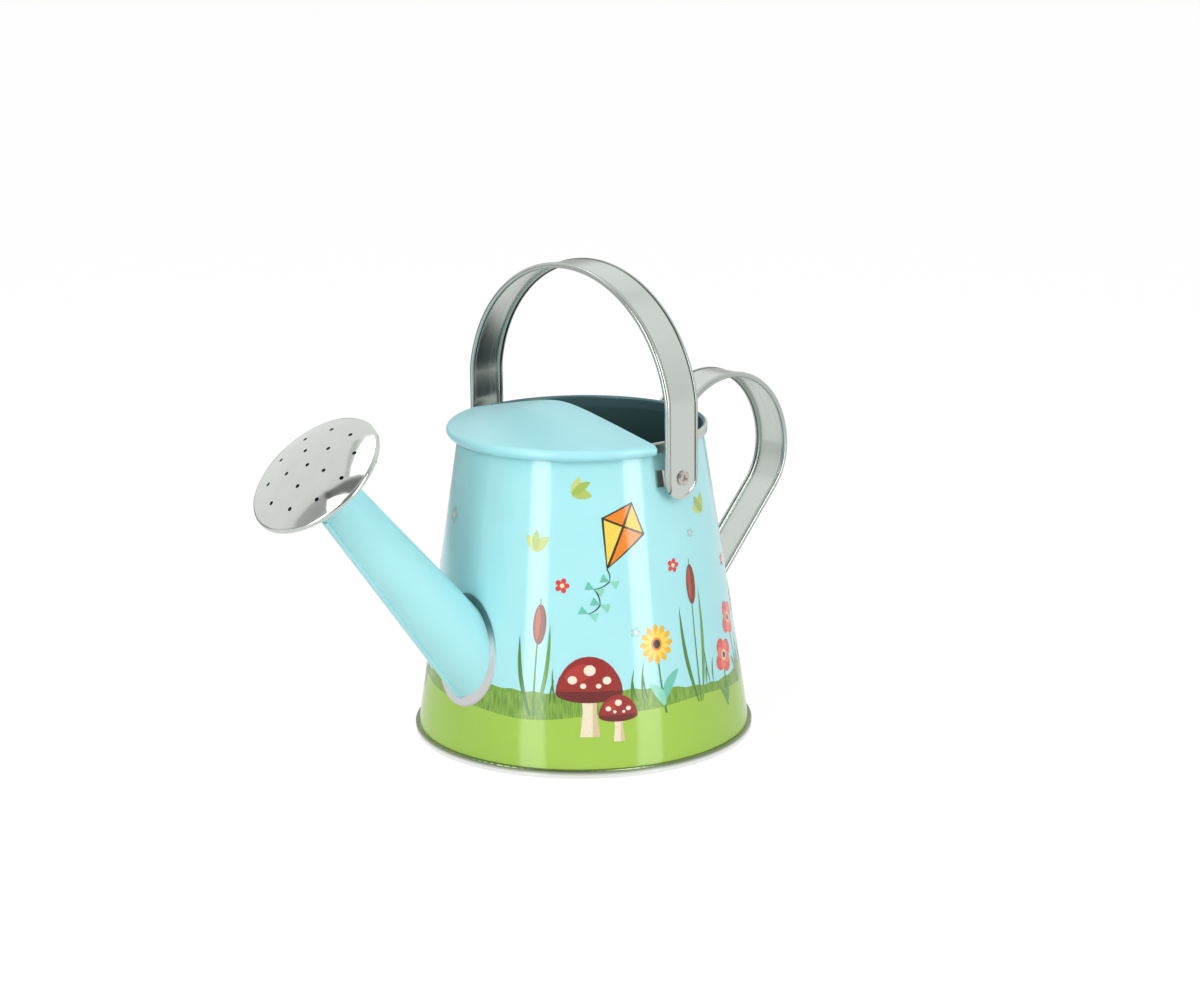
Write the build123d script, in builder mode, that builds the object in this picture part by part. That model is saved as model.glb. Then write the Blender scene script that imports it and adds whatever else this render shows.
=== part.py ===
from build123d import *
import os
from math import asin, atan, atan2, cos, degrees, radians, sin, sqrt

# A child's tinplate watering can of about one litre, in millimetres.
# The origin is the centre of the foot ring on the ground. +X points to the spout,
# +Z is up, and the carrying bail swings about a line along Y.

# ---- Driving dimensions --------------------------------------------------------------
# Body
sheet = 0.4  # tinplate of the body, base, hood, spout and rose
fold_gap = 0.05  # air between the folded layers of the double seam
seam_radius = 65.0  # outside of the double seam at the foot
seam_height = 3.2  # height of the double seam
base_corner = 1.0  # bend from the base panel into its chuck wall
can_height = 119.6  # ground to the top of the rim
rim_inset = 17.2  # outside of the seam to the outside of the rim's hem
rim_hem_height = 3.2  # height of the rim's hem
rim_hem_gap = 0.9  # air inside the rim's hem
rim_neck = 1.0  # straight wall below the hem, before the cone starts
side_seam_width = 4.5  # lock seam down the back of the body
side_seam_proud = 0.5
side_seam_azimuth = 199.0  # degrees round from the spout, beside the rear handle
side_seam_end = 2.0  # seam stops this far from the rim's hem and from the double seam

# Hood over the front of the mouth
hood_overhang = 3.0  # rim's hem to the outside of the curl that grips it
hood_pitch = 13.1  # degrees, slope of its cone
hood_curl = 2.2  # outer radius of the curl
hood_curl_wrap = 202.0  # degrees of curl, from the cone round and under the rim's hem
hood_edge_x = 9.8  # the free edge lies in this upright plane
hood_hem_width = 2.6  # free edge folded back under itself
hood_hem_inset = 1.5  # folded strip stops this far inside the wall

# Spout
spout_azimuth = -3.6  # degrees off the middle plane: it is soldered on slightly to one side
spout_pitch = 50.1  # degrees above the ground
spout_root_height = 42.1  # where the spout's axis meets the wall
spout_length = 100.0  # from there to the plane of the rose's rim
spout_root_radius = 13.5  # outside, at the wall
spout_tip_radius = 8.5  # outside, at the tip inside the rose
spout_inside = 1.0  # how far the root stands into the can
spout_seam_width = 3.0  # lap down the underside
spout_seam_proud = 0.7
collar_width = 2.3  # ring soldered round the root of the spout
collar_thickness = 0.7
solder_gap = 0.02  # between a piece and the curved face that it is soldered to

# Rose
rose_radius = 26.0  # outside of the crimped rim
dome_rise = 5.3  # rim plane to the top of the perforated face
rose_skirt = 0.63  # rim plane to where the dome springs from the skirt
rose_shoulder = 1.3  # bend from the dome into its skirt
crimp_lip = 1.9  # how far the skirt turns in under the cup's flange
cup_flange = 2.2  # width of the cup's flat flange
cup_depth = 9.0  # rim plane to the top of the neck
cup_bulge = 2.0  # how far the bowl of the cup bellies out
neck_length = 6.0
tip_overlap = 5.0  # how far the spout reaches into the neck
flange_play = 0.1  # flange to the inside of the skirt
hole_radius = 0.8
inner_hole_circle = 9.2
inner_holes = 5
outer_hole_circle = 18.2
outer_holes = 10

# Straps of the two handles
strap_width = 16.5
strap_sheet = 0.5
strap_roll = 2.2  # outside diameter of the rolled edges
strap_bead = 0.35  # how far the rolled edges stand proud of the outer face
rivet_radius = 1.6  # shanks of all rivets
rivet_head = 2.9  # radius of the formed heads
rivet_head_height = 1.0
rivet_rolled = 2.7  # radius of the rolled ends
rivet_bore = 0.9  # radius of the hollow in a rolled end
rivet_roll_bevel = 0.5  # slope of the rolled end, to its rim and to its hollow
rivet_play = 0.05  # radial play of the shanks in their holes

# Rear handle
rear_rivet_drop = 14.6  # top of the rim down to the upper rivet
rear_tab = 4.0  # straight strap from the upper rivet to the first bend
rear_reach = 108.4  # can's axis to the outside of the loop
rear_loop_bite = 7.9  # how far the circle of the big bend would pass into the can
rear_loop_drop = 11.3  # upper rivet down to the centre of the big bend
rear_lower_radius = 24.0  # outside of the bend below it
rear_rake = 46.0  # degrees, slope of the straight run back to the can
rear_foot_radius = 8.0  # bend into the lower tab
rear_lower_tab = 4.5  # straight strap from that bend to the lower rivet

# Bail and the ears that carry it
pivot_drop = 13.3  # top of the rim down to the pivot
ear_standoff = 4.8  # wall to the outer face of the ear's bridge, at the pivot
ear_sheet = 0.8
ear_height = 6.0
ear_bridge = 8.4  # length of the flat bridge
ear_post_spread = 1.2  # how far each post leans out on its way to the wall
ear_length = 16.0  # over both feet
bail_play = 0.1  # strap to the bridge, and strap to the rivet's rolled end
bail_rise = 60.6  # top of the rim to the top of the bail
bail_flatness = 5.2  # how far the arch stays below a half circle
bail_shoulder_radius = 25.0  # bend from a leg into the arch

# ---- Worked out from the sizes above -------------------------------------------------
up = Vector(0, 0, 1)
layer = sheet + fold_gap
foot_radius = seam_radius - 3 * layer
chuck_radius = seam_radius - 4 * layer
rim_radius = seam_radius - rim_inset
rim_wall_radius = rim_radius - sheet - rim_hem_gap
rim_fold = sheet + rim_hem_gap / 2
rim_fold_x = rim_wall_radius + rim_hem_gap / 2
rim_fold_z = can_height - rim_fold
rim_hem_bottom = can_height - rim_hem_height
neck_z = rim_hem_bottom - rim_neck
wall_slope = (foot_radius - rim_wall_radius) / (neck_z - seam_height)
wall_lean = degrees(atan(wall_slope))


def wall_radius(z):
    """Outside radius of the conical wall at height z."""
    return foot_radius - wall_slope * (z - seam_height)


def radial_plane(azimuth):
    """Upright plane through the can's axis: x runs outwards, y runs up."""
    outwards = (cos(radians(azimuth)), sin(radians(azimuth)), 0)
    return Plane(origin=(0, 0, 0), x_dir=outwards, z_dir=(outwards[1], -outwards[0], 0))


def rear_wall_plane(z):
    """Plane tangent to the wall at the back, at height z, facing outwards."""
    normal = (-cos(radians(wall_lean)), 0, sin(radians(wall_lean)))
    return Plane(origin=(-wall_radius(z), 0, z), x_dir=(0, 1, 0), z_dir=normal)


# Spout frame: t runs along the axis, outwards, from 0 in the plane of the rose's rim.
spout_plan = Vector(cos(radians(spout_azimuth)), sin(radians(spout_azimuth)), 0)
spout_side = up.cross(spout_plan)
spout_dir = spout_plan * cos(radians(spout_pitch)) + up * sin(radians(spout_pitch))
spout_root = spout_plan * wall_radius(spout_root_height) + up * spout_root_height
rose_centre = spout_root + spout_dir * spout_length
spout_axis = Axis(rose_centre, spout_dir)
spout_section = Plane(origin=rose_centre, x_dir=spout_side.cross(spout_dir), z_dir=-spout_side)
rose_plane = Plane(origin=rose_centre, x_dir=spout_side, z_dir=spout_dir)
neck_end = -(cup_depth + neck_length)
spout_tip = neck_end + tip_overlap
spout_taper = (spout_root_radius - spout_tip_radius) / (spout_length + spout_tip)
spout_bottom = -spout_length - 2 * spout_root_radius


def spout_radius(t):
    """Outside radius of the spout at t."""
    return spout_tip_radius + spout_taper * (spout_tip - t)


def spout_cone(grow, low, high):
    """Solid cone along the spout's axis, its surface moved outwards by grow."""
    with BuildPart() as cone:
        with BuildSketch(spout_section):
            with BuildLine():
                Polyline(
                    (0, low),
                    (spout_radius(low) + grow, low),
                    (spout_radius(high) + grow, high),
                    (0, high),
                    close=True,
                )
            make_face()
        revolve(axis=spout_axis)
    return cone.part


def can_cone(grow):
    """Solid inside the conical wall's outer surface, that surface moved by grow."""
    with BuildPart() as cone:
        with BuildSketch(Plane.XZ):
            with BuildLine():
                Polyline(
                    (0, seam_height),
                    (foot_radius + grow, seam_height),
                    (rim_wall_radius + grow, neck_z),
                    (0, neck_z),
                    close=True,
                )
            make_face()
        revolve(axis=Axis.Z)
    return cone.part


def wall_band(plane, low, high, gap, thickness):
    """Profile, on an upright radial plane, of a band that lies on the wall between two heights."""
    with BuildSketch(plane) as band:
        with BuildLine():
            Polyline(
                (wall_radius(low) + gap, low),
                (wall_radius(low) + gap + thickness, low),
                (wall_radius(high) + gap + thickness, high),
                (wall_radius(high) + gap, high),
                close=True,
            )
        make_face()
    return band.sketch


# ---- Straps of the handles: flat strip, both edges rolled tight round towards the hand ---
def strap_profile(plane, whole=True):
    """Section of the strap: outer face on y = 0, rolls towards -y. Half of it for an end."""
    roll = strap_roll / 2
    centre_y = strap_bead - roll
    outer_crease = degrees(asin(-centre_y / roll))
    inner_crease = degrees(asin((-strap_sheet - centre_y) / roll))
    with BuildSketch(plane) as profile:
        with BuildLine():
            rolled = CenterArc(
                (strap_width / 2 - roll, centre_y),
                roll,
                180 - outer_crease,
                outer_crease - inner_crease - 360,
            )
            Polyline(rolled @ 0, (0, 0), (0, -strap_sheet), rolled @ 1)
        make_face()
        if whole:
            mirror(about=Plane.YZ)
    return profile.sketch


def strap_plane(across, point, heading):
    """Plane square to the strap where it runs at this heading; its y points out of the bends."""
    forward = across * cos(radians(heading)) + up * sin(radians(heading))
    return Plane(origin=point, x_dir=across.cross(up), z_dir=forward)


def strap(across, start, heading, runs):
    """Strap with rounded ends, bent in the upright plane of 'across'.

    It starts at the first rivet and ends at the last. Each run is a length and no turn,
    or the radius of the outer face and the degrees that it turns, to the left if positive.
    """
    plane = strap_plane(across, start, heading)
    with BuildPart() as bent:
        revolve(strap_profile(plane, False), Axis(plane.origin, plane.y_dir), 180)
        for size, turn in runs:
            if turn == 0:
                extrude(strap_profile(plane), amount=size)
                plane = plane.offset(size)
                continue
            inwards = plane.y_dir * (-size if turn > 0 else size)
            centre = plane.origin + inwards
            hub = Axis(centre, plane.x_dir * (1 if turn > 0 else -1))
            revolve(strap_profile(plane), hub, abs(turn))
            heading += turn
            turned = strap_plane(across, start, heading).y_dir
            plane = strap_plane(across, centre + turned * (size if turn > 0 else -size), heading)
        revolve(strap_profile(plane, False), Axis(plane.origin, -plane.y_dir), 180)
    return bent.part


def rivet(plane, low, high):
    """Tubular rivet along the plane's z: domed head under low, rolled end above high."""
    section = Plane(origin=plane.origin, x_dir=plane.x_dir, z_dir=-plane.y_dir)
    head_edge = low - rivet_head_height / 4
    head_rise = rivet_head_height * 3 / 4
    head_dome = (rivet_head**2 + head_rise**2) / (2 * head_rise)
    rolled_edge = high + rivet_head_height / 2
    rolled_top = high + rivet_head_height
    with BuildPart() as fastener:
        with BuildSketch(section):
            with BuildLine():
                RadiusArc((0, low - rivet_head_height), (rivet_head, head_edge), -head_dome)
                Polyline(
                    (rivet_head, head_edge),
                    (rivet_head, low),
                    (rivet_radius, low),
                    (rivet_radius, high),
                    (rivet_rolled, high),
                    (rivet_rolled, rolled_edge),
                    (rivet_rolled - rivet_roll_bevel, rolled_top),
                    (rivet_bore + rivet_roll_bevel, rolled_top),
                    (rivet_bore, rolled_edge),
                    (rivet_bore, high),
                    (0, high),
                    (0, low - rivet_head_height),
                )
            make_face()
        revolve(axis=Axis(plane.origin, plane.z_dir))
    return fastener.part


# ---- Rear handle: where its bends fall, in x and z --------------------------------------
# It leaves the wall straight up, loops out and over, and comes back down at the rake.
rear_up = Vector(sin(radians(wall_lean)), 0, cos(radians(wall_lean)))
rear_out = Vector(-cos(radians(wall_lean)), 0, sin(radians(wall_lean)))
rear_upper_plane = rear_wall_plane(can_height - rear_rivet_drop)
rear_loop_radius = (rear_reach + rear_upper_plane.origin.X + rear_loop_bite) / 2
rear_loop_height = rear_upper_plane.origin.Z - rear_loop_drop
loop_centre = Vector(rear_loop_radius - rear_reach, 0, rear_loop_height)
# First bend: tangent to the wall above the upper tab and to the big bend
first_bend = rear_upper_plane.origin + rear_up * rear_tab - loop_centre
first_radius = (rear_loop_radius**2 - first_bend.dot(first_bend)) / (
    2 * (rear_loop_radius + first_bend.dot(rear_out))
)
first_centre = first_bend + rear_out * first_radius
first_turn = degrees(atan2(first_centre.Z, first_centre.X)) + wall_lean
# Straight run at the rake, down to the bend that lays the lower tab on the wall
roll_y = (strap_width - strap_roll) / 2
lower_seat = strap_roll - strap_bead - foot_radius + sqrt(foot_radius**2 - roll_y**2)
rake_in = Vector(cos(radians(rear_rake)), 0, -sin(radians(rear_rake)))
rake_out = Vector(-sin(radians(rear_rake)), 0, -cos(radians(rear_rake)))
rake_start = Vector(rear_lower_radius - rear_reach, 0, rear_loop_height) + rake_out * rear_lower_radius
foot_shift = (rake_out - rear_out) * rear_foot_radius
to_seat = (rake_start + foot_shift - rear_upper_plane.origin).dot(rear_out) - lower_seat
rake_length = -to_seat / rake_in.dot(rear_out)
lower_tab_top = rake_start + rake_in * rake_length + foot_shift
lower_rivet_point = lower_tab_top - rear_up * rear_lower_tab - rear_out * lower_seat
rear_lower_plane = rear_wall_plane(lower_rivet_point.Z)

# ---- Bail: its face stands off the wall by the ear, its arch is three tangent bends ------
pivot_height = can_height - pivot_drop
bridge_y = wall_radius(pivot_height) + ear_standoff
bail_half = bridge_y + bail_play + strap_sheet
arch_rise = bail_half - bail_flatness
bail_leg = bail_rise + pivot_drop - arch_rise
arch_inset = bail_half - bail_shoulder_radius
arch_radius = (arch_inset**2 + arch_rise**2 - bail_shoulder_radius**2) / (
    2 * (arch_rise - bail_shoulder_radius)
)
shoulder_turn = degrees(atan2(arch_radius - arch_rise, arch_inset))
pivot_plane = Plane(origin=(0, bridge_y, pivot_height), x_dir=(1, 0, 0), z_dir=(0, 1, 0))

os.makedirs("parts", exist_ok=True)

# ---- Body wall: rolled cone, hemmed at the rim, hooked for the double seam -------------
with BuildPart() as body_wall:
    with BuildSketch(Plane.XZ):
        with BuildLine():
            Polyline(
                (rim_wall_radius, rim_fold_z),
                (rim_wall_radius, neck_z),
                (foot_radius, seam_height),
                (foot_radius, 2 * sheet),
                (seam_radius - fold_gap - 2 * sheet, 2 * sheet),
                (seam_radius - fold_gap - 2 * sheet, seam_height - layer),
                (seam_radius - layer, seam_height - layer),
                (seam_radius - layer, sheet),
                (foot_radius - sheet, sheet),
                (foot_radius - sheet, seam_height),
                (rim_wall_radius - sheet, neck_z),
                (rim_wall_radius - sheet, rim_fold_z),
            )
            ThreePointArc(
                (rim_wall_radius - sheet, rim_fold_z),
                (rim_fold_x, can_height),
                (rim_radius, rim_fold_z),
            )
            Polyline(
                (rim_radius, rim_fold_z),
                (rim_radius, rim_hem_bottom),
                (rim_radius - sheet, rim_hem_bottom),
                (rim_radius - sheet, rim_fold_z),
            )
            ThreePointArc(
                (rim_radius - sheet, rim_fold_z),
                (rim_fold_x, can_height - sheet),
                (rim_wall_radius, rim_fold_z),
            )
        make_face()
    revolve(axis=Axis.Z)
    # Lock seam down the back, a flat strip standing proud of the cone
    side_seam = wall_band(
        radial_plane(side_seam_azimuth),
        seam_height + side_seam_end,
        rim_hem_bottom - side_seam_end,
        -sheet / 2,
        side_seam_proud + sheet / 2,
    )
    extrude(side_seam, amount=side_seam_width / 2, both=True)
    # Oval hole for the spout, and the rivet holes of the rear handle
    add(spout_cone(solder_gap, spout_bottom, spout_bottom / 2), mode=Mode.SUBTRACT)
    with BuildSketch(rear_upper_plane, rear_lower_plane):
        Circle(rivet_radius + rivet_play)
    extrude(amount=2 * sheet, both=True, mode=Mode.SUBTRACT)

body_wall.part.label = "body_wall"
export_step(body_wall.part, "parts/body_wall.step")

# ---- Base: panel level with the top of the seam, its edge folded over the wall's hook ----
with BuildPart() as base_plate:
    with BuildSketch(Plane.XZ) as base_section:
        with BuildLine():
            hook_x = seam_radius - 2 * fold_gap - 3 * sheet
            Polyline(
                (0, seam_height - sheet),
                (chuck_radius - sheet, seam_height - sheet),
                (chuck_radius - sheet, 0),
                (seam_radius, 0),
                (seam_radius, seam_height),
                (hook_x, seam_height),
                (hook_x, 2 * sheet + fold_gap),
                (hook_x + sheet, 2 * sheet + fold_gap),
                (hook_x + sheet, seam_height - sheet),
                (seam_radius - sheet, seam_height - sheet),
                (seam_radius - sheet, sheet),
                (chuck_radius, sheet),
                (chuck_radius, seam_height),
                (0, seam_height),
                close=True,
            )
        make_face()
        corners = base_section.vertices()
        panel_bend = corners.sort_by_distance((chuck_radius, seam_height))[0]
        panel_bend_inside = corners.sort_by_distance((chuck_radius - sheet, seam_height - sheet))[0]
        foot_bends = [
            corners.sort_by_distance((chuck_radius - sheet, 0))[0],
            corners.sort_by_distance((seam_radius, 0))[0],
            corners.sort_by_distance((seam_radius, seam_height))[0],
        ]
        fillet(foot_bends, sheet)
        fillet(panel_bend, base_corner)
        fillet(panel_bend_inside, base_corner - sheet)
    revolve(axis=Axis.Z)

base_plate.part.label = "base_plate"
export_step(base_plate.part, "parts/base_plate.step")

# ---- Hood: shallow cone over the front half of the mouth, curled round the rim -----------
# Its underside rests on the top of the rim's hem, and the curl hooks in under the hem.
hood_radius = rim_radius + hood_overhang
pitch_sin = sin(radians(hood_pitch))
pitch_cos = cos(radians(hood_pitch))
curl_x = hood_radius - hood_curl
hood_top_level = rim_fold_x * pitch_sin + rim_fold_z * pitch_cos + rim_fold + sheet
curl_z = (hood_top_level - hood_curl - curl_x * pitch_sin) / pitch_cos
curl_start = 90 - hood_pitch
under = sheet / pitch_cos


def hood_z(x):
    """Height of the cone's upper surface at radius x."""
    return (hood_top_level - x * pitch_sin) / pitch_cos


def curl_point(radius, degrees_round):
    """Point of the curl's section, measured back from where the cone ends."""
    angle = radians(curl_start - degrees_round)
    return (curl_x + radius * cos(angle), curl_z + radius * sin(angle))


with BuildPart() as hood_folded_edge:
    # Free edge: the cone, a gap as thick as the sheet, and the strip folded back under it
    with BuildSketch(Plane.XZ):
        with BuildLine():
            strip_x = rim_wall_radius - sheet - hood_hem_inset
            Polyline(
                (0, hood_z(0) - under / 2),
                (strip_x, hood_z(strip_x) - under / 2),
                (strip_x, hood_z(strip_x) - 3 * under),
                (0, hood_z(0) - 3 * under),
                close=True,
            )
        make_face()
    revolve(axis=Axis.Z)
    split(bisect_by=Plane.YZ.offset(hood_edge_x), keep=Keep.TOP)
    split(bisect_by=Plane.YZ.offset(hood_edge_x + hood_hem_width), keep=Keep.BOTTOM)
    with BuildSketch(Plane.XZ):
        with BuildLine():
            Polyline(
                (0, hood_z(0) - under),
                (hood_radius, hood_z(hood_radius) - under),
                (hood_radius, hood_z(hood_radius) - 2 * under),
                (0, hood_z(0) - 2 * under),
                close=True,
            )
        make_face()
    air = revolve(axis=Axis.Z, mode=Mode.PRIVATE)
    air = split(air, bisect_by=Plane.YZ.offset(hood_edge_x + sheet), keep=Keep.TOP, mode=Mode.PRIVATE)
    add(air, mode=Mode.SUBTRACT)

with BuildPart() as hood:
    with BuildSketch(Plane.XZ):
        with BuildLine():
            Polyline((0, hood_z(0) - under), (0, hood_z(0)), curl_point(hood_curl, 0))
            ThreePointArc(
                curl_point(hood_curl, 0),
                curl_point(hood_curl, hood_curl_wrap / 2),
                curl_point(hood_curl, hood_curl_wrap),
            )
            Line(curl_point(hood_curl, hood_curl_wrap), curl_point(hood_curl - sheet, hood_curl_wrap))
            ThreePointArc(
                curl_point(hood_curl - sheet, hood_curl_wrap),
                curl_point(hood_curl - sheet, hood_curl_wrap / 2),
                curl_point(hood_curl - sheet, 0),
            )
            Line(curl_point(hood_curl - sheet, 0), (0, hood_z(0) - under))
        make_face()
    revolve(axis=Axis.Z)
    split(bisect_by=Plane.YZ.offset(hood_edge_x), keep=Keep.TOP)
    add(hood_folded_edge.part)

hood.part.label = "hood"
export_step(hood.part, "parts/hood.step")

# ---- Spout: tapered tube, lapped down its underside, let into the oval hole --------------
with BuildPart() as spout_tube:
    # The lap stands proud of the cone from the rose's neck down to the collar
    with BuildSketch(spout_section):
        with BuildLine():
            lap_top = neck_end - spout_seam_proud
            Polyline(
                (0, spout_bottom),
                (spout_radius(spout_bottom) + spout_seam_proud, spout_bottom),
                (spout_radius(lap_top) + spout_seam_proud, lap_top),
                (0, lap_top),
                close=True,
            )
        make_face()
    extrude(amount=spout_seam_width / 2, both=True)
    add(can_cone(collar_thickness + solder_gap), mode=Mode.SUBTRACT)
    add(spout_cone(0, spout_bottom, spout_tip))
    add(spout_cone(-sheet, spout_bottom, spout_tip), mode=Mode.SUBTRACT)
    add(can_cone(-sheet - spout_inside), mode=Mode.SUBTRACT)

spout_tube.part.label = "spout_tube"
export_step(spout_tube.part, "parts/spout_tube.step")

# ---- Collar: ring soldered to the wall round the root of the spout -----------------------
with BuildPart() as spout_collar:
    add(spout_cone(collar_width, spout_bottom, spout_tip))
    add(can_cone(collar_thickness), mode=Mode.INTERSECT)
    add(can_cone(solder_gap), mode=Mode.SUBTRACT)
    add(spout_cone(solder_gap, spout_bottom, spout_tip), mode=Mode.SUBTRACT)

spout_collar.part.label = "spout_collar"
export_step(spout_collar.part, "parts/spout_collar.step")

# ---- Rose cup: flat flange, bowl, and the neck that slips over the spout -----------------
flange_radius = rose_radius - sheet - flange_play
with BuildPart() as rose_cup:
    with BuildSketch(spout_section):
        with BuildLine():
            flange = Line((flange_radius, 0), (flange_radius - cup_flange, 0))
            bowl = SagittaArc(flange @ 1, (spout_radius(-cup_depth) + solder_gap, -cup_depth), cup_bulge)
            Line(bowl @ 1, (spout_radius(neck_end) + solder_gap, neck_end))
            offset(amount=sheet, side=Side.LEFT)
        make_face()
    revolve(axis=spout_axis)

rose_cup.part.label = "rose_cup"
export_step(rose_cup.part, "parts/rose_cup.step")

# ---- Rose face: perforated dome, its skirt turned in under the cup's flange --------------
dome_height = dome_rise - rose_skirt
dome_radius = (rose_radius**2 + dome_height**2) / (2 * dome_height)
dome_centre = dome_rise - dome_radius
with BuildPart() as rose_face:
    with BuildSketch(spout_section) as face_section:
        with BuildLine():
            inner_radius = rose_radius - sheet
            inner_top = dome_centre + sqrt((dome_radius - sheet) ** 2 - inner_radius**2)
            RadiusArc((0, dome_rise), (rose_radius, rose_skirt), dome_radius)
            Polyline(
                (rose_radius, rose_skirt),
                (rose_radius, -2 * sheet),
                (rose_radius - crimp_lip, -2 * sheet),
                (rose_radius - crimp_lip, -sheet),
                (inner_radius, -sheet),
                (inner_radius, inner_top),
            )
            RadiusArc((inner_radius, inner_top), (0, dome_rise - sheet), -(dome_radius - sheet))
            Line((0, dome_rise - sheet), (0, dome_rise))
        make_face()
        corners = face_section.vertices()
        shoulder = corners.sort_by_distance((rose_radius, rose_skirt))[0]
        shoulder_inside = corners.sort_by_distance((inner_radius, inner_top))[0]
        crimp = corners.sort_by_distance((rose_radius, -2 * sheet))[0]
        fillet(shoulder, rose_shoulder)
        fillet(shoulder_inside, rose_shoulder - sheet)
        fillet(crimp, sheet)
    revolve(axis=spout_axis)
    with BuildSketch(rose_plane):
        Circle(hole_radius)
        with PolarLocations(inner_hole_circle, inner_holes):
            Circle(hole_radius)
        with PolarLocations(outer_hole_circle, outer_holes):
            Circle(hole_radius)
    extrude(amount=dome_rise + sheet, mode=Mode.SUBTRACT)

rose_face.part.label = "rose_face"
export_step(rose_face.part, "parts/rose_face.step")

# ---- Rear handle: rolled-edge strap from the upper rivet over to the lower one -----------
rear_runs = [
    (rear_tab, 0),
    (first_radius, first_turn),
    (rear_loop_radius, 180 + wall_lean - first_turn),
    (rear_lower_radius, 90 - rear_rake),
    (rake_length, 0),
    (rear_foot_radius, rear_rake - wall_lean - 90),
    (rear_lower_tab, 0),
]
with BuildPart() as rear_handle:
    add(strap(Vector(1, 0, 0), rear_upper_plane.origin, 90 - wall_lean, rear_runs))
    add(can_cone(0), mode=Mode.SUBTRACT)
    with BuildSketch(rear_upper_plane, rear_lower_plane):
        Circle(rivet_radius + rivet_play)
    extrude(amount=strap_roll, mode=Mode.SUBTRACT)

rear_handle.part.label = "rear_handle"
export_step(rear_handle.part, "parts/rear_handle.step")

# ---- Rivets of the rear handle: heads inside the can, rolled ends on the strap -----------
head_seat = -sheet - rivet_head**2 / (2 * (rim_wall_radius - sheet))
with BuildPart() as rear_rivet_upper:
    add(rivet(rear_upper_plane, head_seat, strap_sheet))

rear_rivet_upper.part.label = "rear_rivet_upper"
export_step(rear_rivet_upper.part, "parts/rear_rivet_upper.step")

with BuildPart() as rear_rivet_lower:
    add(rivet(rear_lower_plane, head_seat, lower_seat))

rear_rivet_lower.part.label = "rear_rivet_lower"
export_step(rear_rivet_lower.part, "parts/rear_rivet_lower.step")

# ---- Ears: hat-shaped brackets on the wall that carry the bail ---------------------------
with BuildPart() as ear_near:
    # Feet, following the wall to both sides of the posts
    foot_half_angle = degrees(asin(ear_length / 2 / wall_radius(pivot_height)))
    foot_low = pivot_height - ear_height / 2
    foot_plane = radial_plane(90 - foot_half_angle)
    foot = wall_band(foot_plane, foot_low, foot_low + ear_height, solder_gap, ear_sheet)
    revolve(foot, Axis.Z, 2 * foot_half_angle)
    # Posts and bridge
    with BuildSketch(Plane.XY.offset(foot_low)):
        with BuildLine():
            Polyline(
                (ear_bridge / 2 + ear_post_spread, wall_radius(pivot_height)),
                (ear_bridge / 2, bridge_y),
                (-ear_bridge / 2, bridge_y),
                (-ear_bridge / 2 - ear_post_spread, wall_radius(pivot_height)),
                (0, wall_radius(pivot_height) - ear_standoff),
                close=True,
            )
        make_face()
    extrude(amount=ear_height)
    # Hollow under the bridge
    with BuildSketch(Plane.XY.offset(foot_low)):
        with BuildLine():
            Polyline(
                (ear_bridge / 2 + ear_post_spread - ear_sheet, wall_radius(pivot_height)),
                (ear_bridge / 2 - ear_sheet, bridge_y - ear_sheet),
                (-ear_bridge / 2 + ear_sheet, bridge_y - ear_sheet),
                (-ear_bridge / 2 - ear_post_spread + ear_sheet, wall_radius(pivot_height)),
                (0, wall_radius(pivot_height) - ear_standoff),
                close=True,
            )
        make_face()
    extrude(amount=ear_height, mode=Mode.SUBTRACT)
    add(can_cone(solder_gap), mode=Mode.SUBTRACT)
    with BuildSketch(pivot_plane):
        Circle(rivet_radius + rivet_play)
    extrude(amount=-ear_standoff / 2, mode=Mode.SUBTRACT)

ear_near.part.label = "ear_near"
export_step(ear_near.part, "parts/ear_near.step")

with BuildPart() as ear_far:
    mirror(ear_near.part, about=Plane.XZ)

ear_far.part.label = "ear_far"
export_step(ear_far.part, "parts/ear_far.step")

# ---- Bail rivets: heads under the ears, rolled ends outside the bail ---------------------
with BuildPart() as bail_rivet_near:
    add(rivet(pivot_plane, -ear_sheet, strap_sheet + 2 * bail_play))

bail_rivet_near.part.label = "bail_rivet_near"
export_step(bail_rivet_near.part, "parts/bail_rivet_near.step")

with BuildPart() as bail_rivet_far:
    mirror(bail_rivet_near.part, about=Plane.XZ)

bail_rivet_far.part.label = "bail_rivet_far"
export_step(bail_rivet_far.part, "parts/bail_rivet_far.step")

# ---- Bail: rolled-edge strap arching over the can from ear to ear ------------------------
bail_runs = [
    (bail_leg, 0),
    (bail_shoulder_radius, shoulder_turn),
    (arch_radius, 180 - 2 * shoulder_turn),
    (bail_shoulder_radius, shoulder_turn),
    (bail_leg, 0),
]
with BuildPart() as bail_handle:
    add(strap(Vector(0, 1, 0), Vector(0, bail_half, pivot_height), 90, bail_runs))
    with BuildSketch(Plane.XZ):
        with Locations((0, pivot_height)):
            Circle(rivet_radius + rivet_play)
    extrude(amount=bail_half + strap_roll, both=True, mode=Mode.SUBTRACT)

bail_handle.part.label = "bail_handle"
export_step(bail_handle.part, "parts/bail_handle.step")
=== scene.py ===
from math import atan2, ceil, cos, hypot, pi, radians, sin

import bpy
from mathutils import Euler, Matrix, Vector
from mathutils.geometry import delaunay_2d_cdt


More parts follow.
